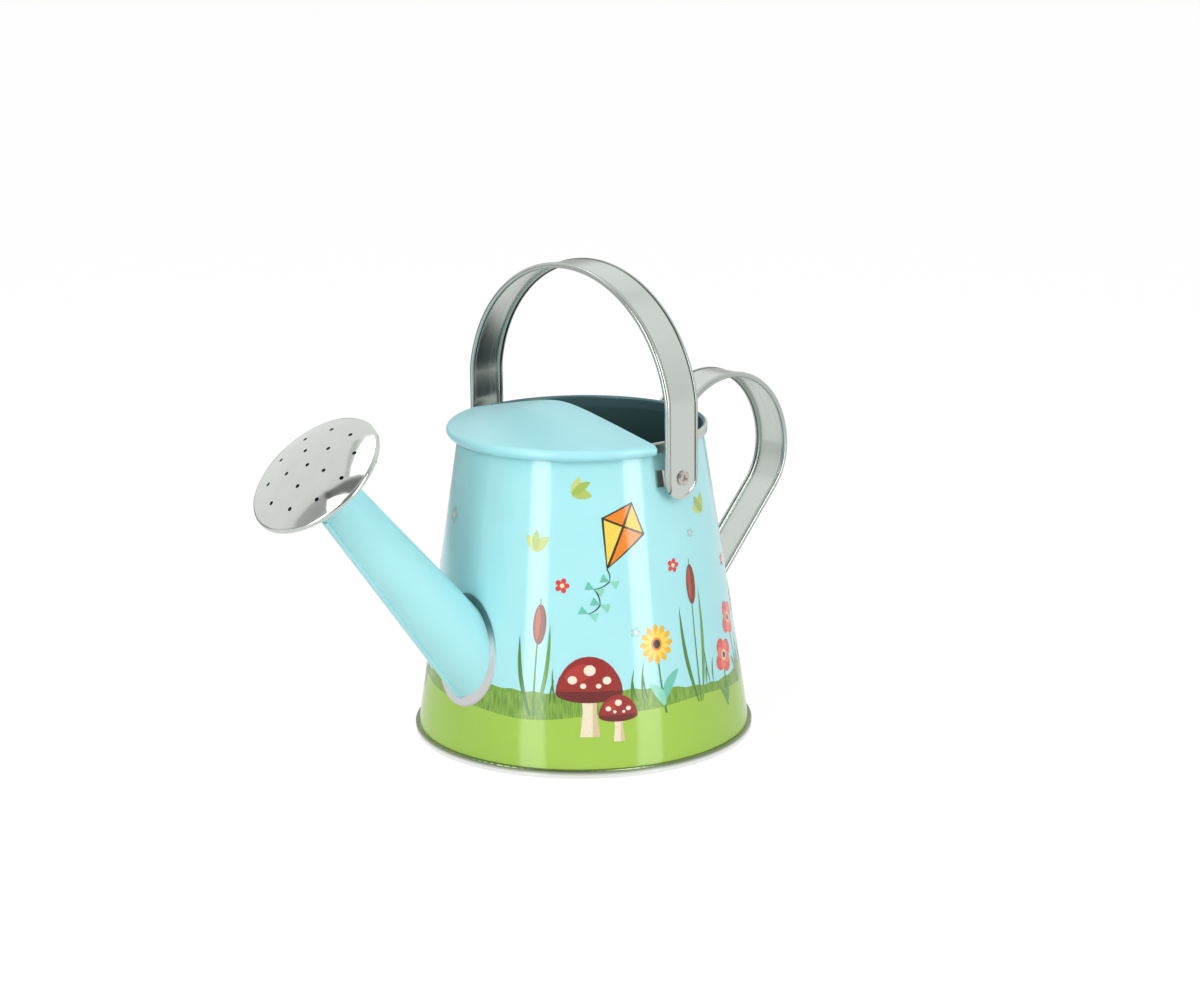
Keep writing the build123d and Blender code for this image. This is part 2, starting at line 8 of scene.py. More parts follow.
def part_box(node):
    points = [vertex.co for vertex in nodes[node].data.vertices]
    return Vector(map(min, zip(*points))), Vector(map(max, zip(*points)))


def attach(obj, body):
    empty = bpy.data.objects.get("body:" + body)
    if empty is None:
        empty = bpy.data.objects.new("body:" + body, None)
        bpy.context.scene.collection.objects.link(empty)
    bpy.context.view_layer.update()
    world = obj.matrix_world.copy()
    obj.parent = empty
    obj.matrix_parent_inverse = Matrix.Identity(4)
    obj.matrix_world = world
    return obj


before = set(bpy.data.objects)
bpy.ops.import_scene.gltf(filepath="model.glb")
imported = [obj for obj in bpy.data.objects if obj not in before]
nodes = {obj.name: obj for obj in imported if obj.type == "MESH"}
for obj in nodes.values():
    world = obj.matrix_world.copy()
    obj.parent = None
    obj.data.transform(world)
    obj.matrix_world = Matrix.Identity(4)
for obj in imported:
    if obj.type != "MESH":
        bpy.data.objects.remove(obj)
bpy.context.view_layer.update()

# ---- Body wall -----------------------------------------------------------------------------
# A cone rolled from tinplate that was printed flat: glossy sky over a strip of long grass and
# a meadow. The hem of the rim is bare bright metal, and the inside is bare and dull, its colour
# painted a dark blue-green for the shade deep in the can.
MM = 0.001
wall = nodes["body_wall"]
hem_height = 4.2  # mm of bare metal at the top
print_radius = 57.0  # mm, turns an angle round the wall into a length
grass_top = 29.5  # mean height of the strip of long grass, mm
grass_top_waves = [(2, 2.2, 0.4), (5, 0.9, 2.0), (41, 0.25, 0.0)]  # times round, mm, phase
grass_foot = 22.5
grass_foot_waves = [(3, 1.5, 3.6), (8, 0.5, 1.0)]
grass_stroke = (0.6, 6, 1)  # mm, one brush stroke, drawn along the unrolled sheet
wash = (30, 18, 1)  # mm, one soft change of tone in the sky and the meadow
bare_roughness = 0.36
inside_dulling = 0.6  # share of the metal's shine that the inside has lost


def linear(hex_colour):
    """RGBA for a socket, from an sRGB hex colour."""
    parts = [int(hex_colour[i : i + 2], 16) / 255 for i in (0, 2, 4)]
    return [p / 12.92 if p <= 0.04045 else ((p + 0.055) / 1.055) ** 2.4 for p in parts] + [1.0]


def node(tree, kind, inputs=(), output=0, **settings):
    """Adds a node and returns one output of it.

    Its settings are its options; inputs holds, for each socket, its value or the output it takes.
    """
    made = tree.nodes.new(kind)
    for option, value in settings.items():
        setattr(made, option, value)
    for socket, value in dict(inputs).items():
        if isinstance(value, bpy.types.NodeSocket):
            tree.links.new(value, made.inputs[socket])
        else:
            made.inputs[socket].default_value = value
    return made.outputs[output] if made.outputs else None


def material(name, sockets):
    """A new material, its node tree and its Principled shader with these sockets set."""
    made = bpy.data.materials.new(name)
    made.use_nodes = True
    shader = made.node_tree.nodes["Principled BSDF"]
    for socket, value in sockets.items():
        shader.inputs[socket].default_value = value
    return made, made.node_tree, shader.inputs


def dress(node_name, made):
    """Gives a CAD node this material."""
    mesh = nodes[node_name].data
    mesh.materials.clear()
    mesh.materials.append(made)


def mottle(tree, size, detail=2.0, place=None):
    """Soft blotches, from 0 to 1, about this long in mm along x, y and z."""
    if place is None:
        place = node(tree, "ShaderNodeTexCoord", output="Object")
    scale = [1 / (length * MM) for length in size]
    place = node(tree, "ShaderNodeMapping", {"Vector": place, "Scale": scale})
    return node(tree, "ShaderNodeTexNoise", {"Vector": place, "Scale": 1.0, "Detail": detail})


def wavy_edge(tree, azimuth, height, waves):
    """Height in mm of an edge of the print that runs round the can in waves."""
    for times, size, phase in waves:
        turn = {0: azimuth, 1: times, 2: phase}
        turn = node(tree, "ShaderNodeMath", turn, operation="MULTIPLY_ADD")
        wave = node(tree, "ShaderNodeMath", {0: turn}, operation="SINE")
        height = {0: wave, 1: size, 2: height}
        height = node(tree, "ShaderNodeMath", height, operation="MULTIPLY_ADD")
    return height


# Clear varnish over flat inks: sharp reflections, with the slight wave of rolled sheet.
print_gloss = {"IOR": 1.57, "Roughness": 0.12}
sheet_wave = (14, 14, 30)  # mm
sheet_wave_depth = 0.03  # mm
litho, tree, shader = material("varnished_print_and_bare_tin", {"IOR": print_gloss["IOR"]})
place = node(tree, "ShaderNodeTexCoord", output="Object")
x = node(tree, "ShaderNodeSeparateXYZ", {0: place})
y, z = x.node.outputs[1], x.node.outputs[2]
azimuth = node(tree, "ShaderNodeMath", {0: y, 1: x}, operation="ARCTAN2")
height = node(tree, "ShaderNodeMath", {0: z, 1: MM}, operation="DIVIDE")
around = node(tree, "ShaderNodeMath", {0: azimuth, 1: print_radius * MM}, operation="MULTIPLY")
unrolled = node(tree, "ShaderNodeCombineXYZ", {0: around, 1: z})
strokes = mottle(tree, grass_stroke, 3.0, unrolled)
strokes = node(tree, "ShaderNodeMapRange", {0: strokes, 1: 0.36, 2: 0.64})
washes = mottle(tree, wash, 2.0, unrolled)
grass_tones = {0: strokes, 6: linear("628f2c"), 7: linear("8db446")}
long_grass = node(tree, "ShaderNodeMix", grass_tones, 2, data_type="RGBA")
sky_tones = {0: washes, 6: linear("a5e4ea"), 7: linear("b1ecef")}
sky = node(tree, "ShaderNodeMix", sky_tones, 2, data_type="RGBA")
meadow_tones = {0: washes, 6: linear("9bc43e"), 7: linear("a8cc4e")}
meadow = node(tree, "ShaderNodeMix", meadow_tones, 2, data_type="RGBA")
top_edge = wavy_edge(tree, azimuth, grass_top, grass_top_waves)
foot_edge = wavy_edge(tree, azimuth, grass_foot, grass_foot_waves)
in_grass = node(tree, "ShaderNodeMath", {0: height, 1: top_edge}, operation="LESS_THAN")
in_meadow = node(tree, "ShaderNodeMath", {0: height, 1: foot_edge}, operation="LESS_THAN")
inked = node(tree, "ShaderNodeMix", {0: in_grass, 6: sky, 7: long_grass}, 2, data_type="RGBA")
inked = node(tree, "ShaderNodeMix", {0: in_meadow, 6: inked, 7: meadow}, 2, data_type="RGBA")
normal = place.node.outputs["Normal"]
outwards = node(tree, "ShaderNodeCombineXYZ", {0: x, 1: y})
facing = {0: normal, 1: outwards}
facing = node(tree, "ShaderNodeVectorMath", facing, "Value", operation="DOT_PRODUCT")
inside = node(tree, "ShaderNodeMath", {0: facing, 1: 0.0}, operation="LESS_THAN")
hem_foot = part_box("body_wall")[1][2] / MM - hem_height
hem = node(tree, "ShaderNodeMath", {0: height, 1: hem_foot}, operation="GREATER_THAN")
bare = node(tree, "ShaderNodeMath", {0: hem, 1: inside}, operation="MAXIMUM")
# Painted shade: the inside gets a dark blue-green, the hem the bright tin.
tin = {0: inside, 6: linear("c6cac8"), 7: linear("52767a")}
tin = node(tree, "ShaderNodeMix", tin, 2, data_type="RGBA")
colours = node(tree, "ShaderNodeMix", {0: bare, 6: inked, 7: tin}, 2, data_type="RGBA")
tree.links.new(colours, shader["Base Color"])
dull = {0: inside, 1: -inside_dulling, 2: bare}
dull = node(tree, "ShaderNodeMath", dull, operation="MULTIPLY_ADD")
tree.links.new(dull, shader["Metallic"])
rough = {0: bare, 3: print_gloss["Roughness"], 4: bare_roughness}
rough = node(tree, "ShaderNodeMapRange", rough)
tree.links.new(rough, shader["Roughness"])
wave = {"Distance": sheet_wave_depth * MM, "Height": mottle(tree, sheet_wave, 1.0)}
tree.links.new(node(tree, "ShaderNodeBump", wave), shader["Normal"])
dress("body_wall", litho)

# ---- Printed kites -------------------------------------------------------------------------
# Yellow and orange kites with dark spars and sea-green bows on the tail, one in front and one
# behind. Each print is a thin layer of flat inks on the wall's face, under the same varnish.
facet = 1.5  # mm between the points of a shape, so that it follows the round wall
first_lift = 0.03  # mm off the wall, clear of its facets
layer_lift = 0.02  # mm more for each shape over another
low_z, high_z = 10 * MM, 110 * MM  # where the wall is measured
ink_tones = (0.86, 1.1)  # the ink where it is thick and where it is thin, to its own shade
ink_grain = (1.2, 1.2, 1.2)  # mm


def wall_reach(z):
    """Radius of the wall's printed face at a height, measured on the CAD node."""
    return -wall.ray_cast(Vector((0, -1, z)), Vector((0, 1, 0)))[1].y


low_reach = wall_reach(low_z)
cone_slope = (low_reach - wall_reach(high_z)) / (high_z - low_z)
cone_lean = atan2(cone_slope, 1)
litho_inks = {}


def ink(shade):
    """Varnished ink of this colour, a little uneven as litho print is."""
    if shade not in litho_inks:
        litho_inks[shade], tree, shader = material("varnished_ink_" + shade, print_gloss)
        deep, light = ([min(1.0, c * k) for c in linear(shade)[:3]] + [1.0] for k in ink_tones)
        tones = {0: mottle(tree, ink_grain, 3.0), 6: deep, 7: light}
        tones = node(tree, "ShaderNodeMix", tones, 2, data_type="RGBA")
        tree.links.new(tones, shader["Base Color"])
        wave = {"Distance": sheet_wave_depth * MM, "Height": mottle(tree, sheet_wave, 1.0)}
        tree.links.new(node(tree, "ShaderNodeBump", wave), shader["Normal"])
    return litho_inks[shade]


def encloses(outline, x, y):
    """True if the point lies inside the outline."""
    inside = False
    for (ax, ay), (bx, by) in zip(outline, outline[1:] + outline[:1]):
        if (ay > y) != (by > y) and x < ax + (bx - ax) * (y - ay) / (by - ay):
            inside = not inside
    return inside


def filled(outline):
    """Points and triangles that fill a flat outline, about a facet apart."""
    rim = []
    for (ax, ay), (bx, by) in zip(outline, outline[1:] + outline[:1]):
        steps = max(1, ceil(hypot(bx - ax, by - ay) / facet))
        rim += [(ax + (bx - ax) * k / steps, ay + (by - ay) * k / steps) for k in range(steps)]
    left, right = min(p[0] for p in rim), max(p[0] for p in rim)
    low, high = min(p[1] for p in rim), max(p[1] for p in rim)
    columns = [left + facet * (i + 0.5) for i in range(int((right - left) / facet))]
    rows = [low + facet * (i + 0.5) for i in range(int((high - low) / facet))]
    middle = [(x, y) for x in columns for y in rows if encloses(rim, x, y)]
    points, _, faces, _, _, _ = delaunay_2d_cdt(
        [Vector(p) for p in rim + middle], [], [list(range(len(rim)))], 1, 1e-5
    )
    return points, faces


def overlap(first, second):
    """True if the boxes round two outlines meet."""
    for k in (0, 1):
        a, b = ([p[k] for p in outline] for outline in (first, second))
        if min(a) > max(b) or min(b) > max(a):
            return False
    return True


def print_motif(name, degrees_round, height, shapes):
    """Prints a motif on the wall: its shapes are (shade, outline in mm), later ones on top."""
    corners, faces, normals, face_inks, layers = [], [], [], [], []
    mesh = bpy.data.meshes.new(name)
    shades = list(dict.fromkeys(shade for shade, _ in shapes))
    for shade in shades:
        mesh.materials.append(ink(shade))
    reach = low_reach - cone_slope * (height * MM - low_z)
    for shade, outline in shapes:
        below = [layer for layer, other in layers if overlap(outline, other)]
        layers.append((max(below, default=-1) + 1, outline))
        lift = (first_lift + layers[-1][0] * layer_lift) * MM
        points, triangles = filled(outline)
        faces += [[len(corners) + i for i in triangle] for triangle in triangles]
        face_inks += [shades.index(shade)] * len(triangles)
        for point in points:
            z = (height + point.y * cos(cone_lean)) * MM
            turn = radians(degrees_round) + point.x * MM / reach
            r = low_reach - cone_slope * (z - low_z) + lift * cos(cone_lean)
            corners.append((r * cos(turn), r * sin(turn), z + lift * sin(cone_lean)))
            out = cos(cone_lean)
            normals.append((cos(turn) * out, sin(turn) * out, sin(cone_lean)))
    mesh.from_pydata(corners, [], faces)
    mesh.polygons.foreach_set("material_index", face_inks)
    mesh.polygons.foreach_set("use_smooth", [True] * len(faces))
    mesh.normals_split_custom_set_from_vertices(normals)
    piece = bpy.data.objects.new(name, mesh)
    bpy.context.scene.collection.objects.link(piece)
    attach(piece, "can")


def turned(points, degrees_round):
    """The points turned about the origin."""
    turn = radians(degrees_round)
    return [(x * cos(turn) - y * sin(turn), x * sin(turn) + y * cos(turn)) for x, y in points]


def blade(start, end, wide, bend, blunt=False):
    """Leaf from one point to another that bulges sideways by bend, or a stem if it is blunt."""
    along = (end[0] - start[0], end[1] - start[1])
    length = hypot(*along)
    side = (-along[1] / length, along[0] / length)
    edges = [[], []]
    steps = 10
    for k in range(steps + 1):
        t = k / steps
        stem = 1 - 0.45 * t  # tapers to half its width
        leaf = sin(pi * (0.08 + 0.92 * t)) ** 0.8 + 0.02  # swells and comes to a point
        half = wide / 2 * (stem if blunt else leaf)
        for sign, edge in zip((1, -1), edges):
            shift = bend * sin(pi * t) + sign * half
            edge.append([start[i] + along[i] * t + side[i] * shift for i in (0, 1)])
    return edges[0] + edges[1][::-1]


def kite(tilt):
    """Kite in four quarters, its tail below it."""
    spar = 0.45  # half the width of the gap between the quarters, mm
    shapes = [("3a3a2c", turned([(0, 12.6), (9.0, 3), (0, -13.8), (-9.0, 3)], tilt))]
    quarters = [("f7c433", 1, 11.3, 1), ("f08a2c", -1, 11.3, 1)]
    quarters += [("f08a2c", 1, -12.1, -1), ("fbd65a", -1, -12.1, -1)]
    for shade, side, tip, up in quarters:
        corners = [(spar * side, tip), (7.8 * side, 3 + 0.4 * up), (spar * side, 3 + 0.4 * up)]
        shapes.append((shade, turned(corners, tilt)))
    tail = [(0, -13.6), (2.6, -17.5), (-1.2, -22.0), (2.8, -26.5), (0.4, -31.0)]
    for start, end in zip(tail, tail[1:]):
        shapes.append(("3a3a2c", turned(blade(start, end, 0.5, 0.5, True), tilt)))
    for x, y in tail[1:]:
        shapes.append(("6fc7ae", turned([(x, y), (x - 3.2, y + 1.8), (x - 3.2, y - 1.5)], tilt)))
        shapes.append(("8fd8bf", turned([(x, y), (x + 3.2, y + 1.5), (x + 3.2, y - 1.8)], tilt)))
    return shapes


print_motif("print_kite_front", 62, 88, kite(-24))
print_motif("print_kite_back", -122, 84, kite(18))

# ---- Printed toadstools --------------------------------------------------------------------
# Dark red caps with cream spots on pale stalks, a tall one and a short one side by side in
# the meadow, in front and behind. Flat inks with one darker tone for the shaded side.


def oval(x, y, wide, tall, tilt=0.0):
    """Ellipse about a point."""
    steps = 24
    angles = [2 * pi * k / steps for k in range(steps)]
    ring = [(wide / 2 * cos(angle), tall / 2 * sin(angle)) for angle in angles]
    return [(x + a, y + b) for a, b in turned(ring, tilt)]


def toadstool(size):
    """Toadstool as tall as size, in mm."""
    k = size / 24  # it is drawn 24 mm tall
    angles = [pi * i / 14 for i in range(15)]
    cap = [(10 * k * cos(angle), (12.5 + 10 * sin(angle)) * k) for angle in angles]
    under = [(10 * k * cos(angle), (12.5 - 2.8 * sin(angle)) * k) for angle in angles][::-1]
    stalk = [(-2.8, 0), (3.0, 0), (2.1, 7), (2.4, 13.5), (-2.4, 13.5), (-2.0, 7)]
    shaded = [(0.8, 0), (3.0, 0), (2.1, 7), (2.4, 12.5), (1.0, 12.5)]
    shapes = [
        ("efe2c4", [(x * k, y * k) for x, y in stalk]),
        ("d9c49a", [(x * k, y * k) for x, y in shaded]),
        ("6f2320", cap + under),
        ("9c2c2a", [(x * 0.96, y + 0.5 * k) for x, y in cap]),
        ("b53b36", oval(-3.2 * k, 18.0 * k, 8.5 * k, 5.0 * k, 24)),
    ]
    spots = [(-5.0, 16.3, 1.4), (0.2, 19.0, 1.8), (5.3, 16.0, 1.3)]
    spots += [(-1.8, 14.6, 0.9), (2.8, 14.5, 0.8)]
    for x, y, r in spots:
        shapes.append(("f3e6cf", oval(x * k, y * k, 2 * r * k, 1.7 * r * k)))
    return shapes


print_motif("print_toadstool_front_tall", 48, 15, toadstool(31))
print_motif("print_toadstool_front_short", 58, 13, toadstool(18))
print_motif("print_toadstool_back_tall", -140, 16, toadstool(28))
print_motif("print_toadstool_back_short", -151, 15, toadstool(17))

# ---- Printed poppies and daisies -----------------------------------------------------------
# Coral poppies and yellow daisies that stand in the long grass all round the can. Their
# leaves are leaf green and sea green.


def petals(x, y, count, inner, outer, turn=0.0):
    """Ring of rounded petals between two radii."""
    steps = count * 10
    ring = []
    for k in range(steps):
        angle = 2 * pi * k / steps
        r = inner + (outer - inner) * abs(cos(count * angle / 2)) ** 0.7
        ring.append((x + r * cos(angle + turn), y + r * sin(angle + turn)))
    return ring


def poppy(height, lean):
    """Coral poppy on a curved stem."""
    return [
        ("4f8436", blade((0, 0), (lean, height), 1.0, lean * 0.25, True)),
        ("6fa044", blade((0, 1), (5.0, height * 0.55), 2.6, 0.9)),
        ("6fa044", blade((0, 0.5), (-4.6, height * 0.45), 2.4, -0.9)),
        ("e8564a", petals(lean, height, 4, 4.4, 7.2, 0.5)),
        ("f4796a", petals(lean, height, 4, 2.4, 5.4, 1.1)),
        ("f6d9b0", oval(lean, height, 4.2, 4.2)),
        ("4a3a34", oval(lean, height, 2.4, 2.4)),
    ]


def daisy(height, lean):
    """Yellow daisy with a dark eye and two sea-green leaves."""
    return [
        ("4f8436", blade((0, 0), (lean, height), 0.9, -lean * 0.2, True)),
        ("6fc7ae", blade((lean * 0.2, height * 0.2), (7.0, height * 0.6), 3.8, 1.0)),
        ("8fd8bf", blade((lean * 0.15, height * 0.12), (-6.4, height * 0.45), 3.6, -1.0)),
        ("f2b632", petals(lean, height, 12, 4.2, 7.4)),
        ("fbd65a", petals(lean, height, 12, 2.8, 5.8, 0.26)),
        ("e8862c", oval(lean, height, 4.8, 4.8)),
        ("3a342a", oval(lean, height, 3.2, 3.2)),
    ]


print_motif("print_poppy_near", 108, 16, poppy(19, 2.0))
print_motif("print_poppy_side", 121, 21, poppy(26, -2.0))
print_motif("print_poppy_far", -36, 18, poppy(20, 2.0))
print_motif("print_poppy_back", 151, 18, poppy(24, -2.5))
print_motif("print_daisy_front", 76, 21, daisy(26, -2.0))
print_motif("print_daisy_side", 134, 20, daisy(30, 2.5))
print_motif("print_daisy_far", -62, 21, daisy(28, 2.0))
print_motif("print_daisy_back", -166, 20, daisy(26, 2.0))

# ---- Printed bulrushes ---------------------------------------------------------------------
# Red-brown bulrushes between long leaves, as tall as a third of the wall, and thin tufts of
# blades that stand up out of the strip of grass.


def bulrush(height, lean):
    """Bulrush of this height, in mm."""
    return [
        ("4f8436", blade((-1.2, 0), (-6.5, height * 0.74), 1.7, 1.6)),
        ("6fa044", blade((1.0, 0), (6.0, height * 0.86), 1.6, -1.3)),
        ("5c8f3a", blade((0, 0), (lean, height + 3.5), 0.8, 0.4, True)),
        ("8a3f2a", oval(lean * 0.82, height - 6.0, 5.4, 15.0, -3)),
        ("b4573a", oval(lean * 0.82 - 0.8, height - 5.6, 2.2, 12.0, -3)),
    ]


def tuft(heights):
    """Thin dark blades, one for each height."""
    shapes = []
    for i, tall in enumerate(heights):
        foot = 2.1 * i - len(heights)
        shapes.append(("4f7f30", blade((foot, 0), (foot + 1.4 * (-1) ** i, tall), 0.7, 0.5)))
    return shapes


print_motif("print_bulrush_near", 92, 22, bulrush(50, 2.0))
print_motif("print_bulrush_spout", 28, 22, bulrush(40, 2.0))
print_motif("print_bulrush_far", -84, 22, bulrush(44, -2.0))
print_motif("print_bulrush_back", 163, 22, bulrush(42, -2.0))
print_motif("print_tuft_spout", 37, 27, tuft([9, 13, 11]))
print_motif("print_tuft_front", 67, 27, tuft([12, 8, 15, 10]))
print_motif("print_tuft_near", 99, 27, tuft([9, 14, 10]))
print_motif("print_tuft_side", 127, 27, tuft([13, 9, 12]))
print_motif("print_tuft_far", -48, 27, tuft([12, 9, 14]))
print_motif("print_tuft_back", -112, 27, tuft([10, 14, 9, 12]))

# ---- Printed sprigs and small blooms -------------------------------------------------------
# Loose pairs of yellow-green leaves, small red flowers and pale seed heads that drift over
# the sky. They fill it evenly all round the can.


def sprig(tilt):
    """Three leaves from one point."""
    tips = turned([(6.6, 2.9), (-1.1, 6.8), (3.5, 7.2)], tilt)
    return [
        ("b6c868", blade((0, 0), tips[0], 3.8, 0.5)),
        ("cbd884", blade((0, 0), tips[1], 3.5, -0.5)),
        ("a9bf5c", blade((0, 0), tips[2], 2.9, 0.3)),
    ]


def bloom(shade, size):
    """Small five-petalled flower with a pale eye."""
    eye = size * 0.3
    return [(shade, petals(0, 0, 5, size / 4, size / 2)), ("fbe9b8", oval(0, 0, eye, eye))]


sprigs = [("spout", 27, 82, 25), ("top", 42, 103, -30), ("side", 108, 90, 60), ("far", -50, 90, 10)]
sprigs += [("back", 146, 78, -20), ("rear", -160, 72, 40)]
for place_name, degrees_round, height, tilt in sprigs:
    print_motif("print_sprig_" + place_name, degrees_round, height, sprig(tilt))

red, salmon, mist = "e0484a", "f08a72", "a4cfd8"
blooms = [("spout", 38, 70, red, 5.6), ("front", 85, 74, red, 5.4), ("near", 100, 101, salmon, 4.6)]
blooms += [("side", 124, 68, red, 5.4), ("far", -44, 66, red, 5.4), ("back", -104, 66, salmon, 5.2)]
blooms += [("rear", 168, 96, red, 5.2), ("seed_spout", -24, 88, mist, 7.0)]
blooms += [("seed_front", 66, 52, mist, 4.4), ("seed_near", 97, 84, mist, 3.8)]
for place_name, degrees_round, height, shade, across in blooms:
    print_motif("print_bloom_" + place_name, degrees_round, height, bloom(shade, across))

# ---- Base: panel and foot ring of bare bright tinplate --------------------------------------
# Pressed from plain sheet and folded over the wall's foot, with rolling marks round it. The top
# of the fold is painted dark olive for the shade in the crease under the wall and the green
# wall mirrored there, and fades to bright tin at the ground.
fold_shade_heights = (0.9, 2.7)  # mm up, where the painted shade starts and where it is full


def faint_patches(tree):
    """Stain in soft blotches."""
    return mottle(tree, (9, 9, 9), 2.0)


def bare_metal(name, shade, stain_and_shade_colour, roughness, mark_size, mark_depth, stain_and_shade=faint_patches):
    """Bare metal whose marks are this long along x, y and z and this deep, in mm.

    The second colour comes in where the mask is 1: a real stain on some metals,
    painted shade on others.
    """
    made, tree, shader = material(name, {"Metallic": 1.0})
    tones = {0: stain_and_shade(tree), 6: linear(shade), 7: linear(stain_and_shade_colour)}
    tree.links.new(node(tree, "ShaderNodeMix", tones, 2, data_type="RGBA"), shader["Base Color"])
    marks = mottle(tree, mark_size, 3.0)
    spread = {0: marks, 1: 0.3, 2: 0.7, 3: roughness * 0.85, 4: roughness * 1.2}
    tree.links.new(node(tree, "ShaderNodeMapRange", spread), shader["Roughness"])
    scratch = {"Distance": mark_depth * MM, "Height": marks}
    tree.links.new(node(tree, "ShaderNodeBump", scratch), shader["Normal"])
    return made


def painted_fold_shade(tree):
    """Painted shade that fills the top of the fold and thins out towards the ground."""
    place = node(tree, "ShaderNodeTexCoord", output="Object")
    height = node(tree, "ShaderNodeSeparateXYZ", {0: place}, 2)
    fade = {0: height, 1: fold_shade_heights[0] * MM, 2: fold_shade_heights[1] * MM}
    return node(tree, "ShaderNodeMapRange", fade, interpolation_type="SMOOTHSTEP")


rolled = (12, 12, 0.5)  # mm, marks that run round the ring
# Painted shade: dark olive in the top of the fold, for the crease's shade and the mirrored green.
base_tin = bare_metal("bright_tin_base", "f0f2ee", "7c8a68", 0.24, rolled, 0.003, painted_fold_shade)
dress("base_plate", base_tin)

# ---- Hood and spout: tinplate in the plain blue of the print's sky --------------------------
# Lacquered one colour after forming, so the soft gloss has a faint orange peel. The spout's
# lacquer is painted a shade lighter than the hood's, for the light it catches, and the cup
# behind the rose has the spout's lacquer too.


def blue_lacquer(name, deep, light):
    """Satin stoving lacquer on tinplate."""
    made, tree, shader = material(name, {"IOR": 1.57, "Roughness": 0.3})
    tones = {0: mottle(tree, (22, 22, 22)), 6: linear(deep), 7: linear(light)}
    tree.links.new(node(tree, "ShaderNodeMix", tones, 2, data_type="RGBA"), shader["Base Color"])
    peel = {"Distance": 0.002 * MM, "Height": mottle(tree, (1.6, 1.6, 1.6), 1.0)}
    tree.links.new(node(tree, "ShaderNodeBump", peel), shader["Normal"])
    return made


dress("hood", blue_lacquer("satin_lacquer_hood", "a0dfe8", "acebef"))
# Painted light: the spout's lacquer is a shade lighter than the hood's.
spout_lacquer = blue_lacquer("satin_lacquer_spout", "a8e7ee", "b3f2f5")
dress("spout_tube", spout_lacquer)
dress("rose_cup", spout_lacquer)

# ---- Collar: bare ring soldered round the root of the spout ---------------------------------
# Cut from sheet, and soldered to the wall and the tube. The solder has left it duller than the
# sheet, and its top is painted a dark blue-green for shade.
unshaded_below, fully_shaded_above = 45, 54  # mm up, where the painted shade starts and where it is full


def painted_collar_shade(tree):
    """Painted shade over the top of the ring."""
    place = node(tree, "ShaderNodeTexCoord", output="Object")
    height = node(tree, "ShaderNodeSeparateXYZ", {0: place}, 2)
    fade = {0: height, 1: unshaded_below * MM, 2: fully_shaded_above * MM}
    return node(tree, "ShaderNodeMapRange", fade, interpolation_type="SMOOTHSTEP")


# Painted shade: the dark blue-green darkens the top of the collar.
collar_tin = bare_metal("soldered_tin", "dadada", "6f8486", 0.34, (3, 3, 3), 0.004, painted_collar_shade)
dress("spout_collar", collar_tin)

# ---- Rose: punched face of polished tin ------------------------------------------------------
# Domed, with its skirt crimped over the flange of the cup. Bright between fine scratches, and
# slightly dented by the punch and the crimping.
dress("rose_face", bare_metal("polished_tin_rose", "d4d8d3", "c8ccc7", 0.07, (6, 6, 6), 0.02))

# ---- Bail: galvanised strip with rolled edges ------------------------------------------------
# Drawn through rolls, so its faint marks run along it. The crease beside each rolled edge is
# painted dark for shade, and the rolled edges a little darker, which tones down their highlights.
strap_half = 8.25  # mm, half the strap's width
crease = 1.75  # mm from the edge to the crease
crease_width = 0.5  # mm
edge_shade = 0.3  # share of the painted shade on the rolled edge itself


def painted_crease_shade(across):
    """Painted shade in a strap's creases and rolled edges; across is the axis over its width."""

    def stain_and_shade(tree):
        place = node(tree, "ShaderNodeTexCoord", output="Object")
        offset = node(tree, "ShaderNodeSeparateXYZ", {0: place}, across)
        offset = node(tree, "ShaderNodeMath", {0: offset}, operation="ABSOLUTE")
        beside = {0: offset, 1: (strap_half - crease) * MM}
        beside = node(tree, "ShaderNodeMath", beside, operation="SUBTRACT")
        beside = node(tree, "ShaderNodeMath", {0: beside}, operation="ABSOLUTE")
        line = {0: beside, 1: crease_width * MM, 2: 0.2 * crease_width * MM}
        line = node(tree, "ShaderNodeMapRange", line, interpolation_type="SMOOTHSTEP")
        rolled = {0: offset, 1: (strap_half - crease) * MM, 2: (strap_half - crease / 2) * MM}
        rolled = node(tree, "ShaderNodeMapRange", {**rolled, 4: edge_shade})
        return node(tree, "ShaderNodeMath", {0: line, 1: rolled}, operation="MAXIMUM")

    return stain_and_shade


drawn = (3, 90, 90)  # mm, marks along the bail
# Painted shade: the dark grey goes into the creases and faintly onto the rolled edges.
bail_strip = bare_metal("galvanised_bail", "cdd3cd", "5f6a66", 0.26, drawn, 0.001, painted_crease_shade(0))
dress("bail_handle", bail_strip)

# ---- Rear handle: the same galvanised strip --------------------------------------------------
# Bent to a loop and riveted to the back of the wall. Its creases are painted with a little less
# shade than the bail's.
drawn = (90, 3, 90)  # mm, marks along the handle
creases = painted_crease_shade(1)
# Painted shade in the creases, as on the bail.
rear_strip = bare_metal("galvanised_rear_handle", "cdd3cd", "6a7571", 0.26, drawn, 0.001, creases)
dress("rear_handle", rear_strip)

# ---- Ears: bent galvanised brackets under the bail -------------------------------------------
# Small pressings soldered to the wall, which hold the bail clear of it. Left as they came off
# the tool, a little duller than the straps.
ear_metal = bare_metal("galvanised_ears", "c9cbc6", "adb0aa", 0.32, (2, 2, 2), 0.004)
dress("ear_near", ear_metal)
dress("ear_far", ear_metal)

# ---- Rivets: zinc-plated, their rolled ends rubbed bright -------------------------------------
# Tubular, and rolled over on both sides. Two hold the rear handle to the wall, and two carry
# the bail on its ears.
rivet_metal = bare_metal("plated_rivets", "d3cfcb", "b9aca6", 0.26, (0.6, 0.6, 0.6), 0.003)
for name in ("rear_rivet_upper", "rear_rivet_lower", "bail_rivet_near", "bail_rivet_far"):
    dress(name, rivet_metal)

